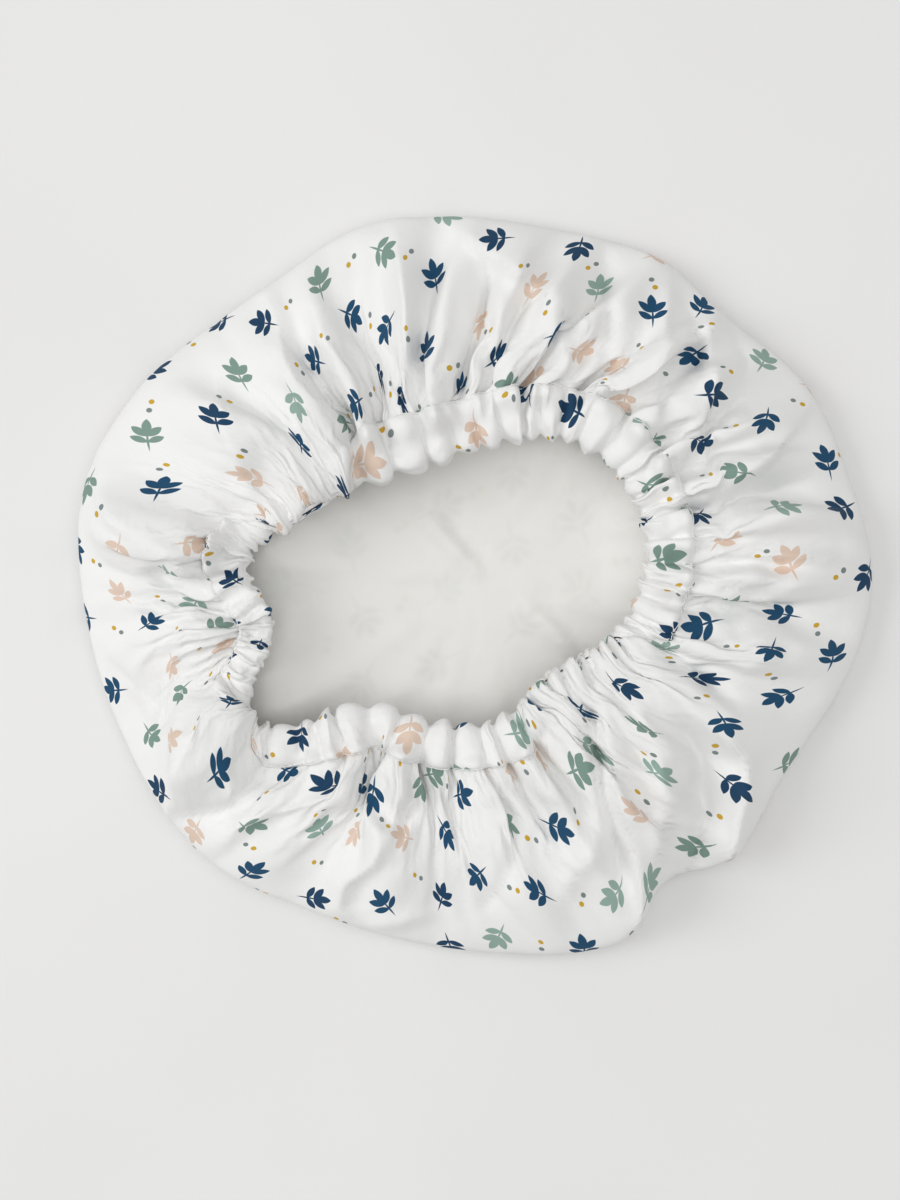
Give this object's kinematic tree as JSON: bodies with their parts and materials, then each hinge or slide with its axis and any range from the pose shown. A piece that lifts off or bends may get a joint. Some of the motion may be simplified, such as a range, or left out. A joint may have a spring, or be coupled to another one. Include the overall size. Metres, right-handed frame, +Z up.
{
  "type": "hair bonnet",
  "caption": "Soft round hair bonnet with a printed crown, a smooth silk lining and an elastic gathered opening, lying on its crown with the opening up.",
  "frame": {"origin": "on the table, under the middle of the bonnet as it lies on its crown", "axes": "+Z up out of the opening, +X along the wider side to the right of the picture, +Y to the top of the picture"},
  "size_m": [0.38, 0.355, 0.0525],
  "materials": {
    "printed_cloth": "matt woven cloth with a small scattered print",
    "lining_silk": "smooth white silk with a soft sheen",
    "elastic_webbing": "ribbed woven elastic",
    "sewing_thread": "white polyester thread"
  },
  "bodies": {
    "root": {"outer_crown": "printed_cloth", "crown_lining": "lining_silk", "elastic_casing": "printed_cloth", "elastic_band": "elastic_webbing", "elastic_join_thread": "sewing_thread", "casing_needle_thread": "sewing_thread", "casing_bobbin_thread": "sewing_thread"}
  },
  "joints": []
}
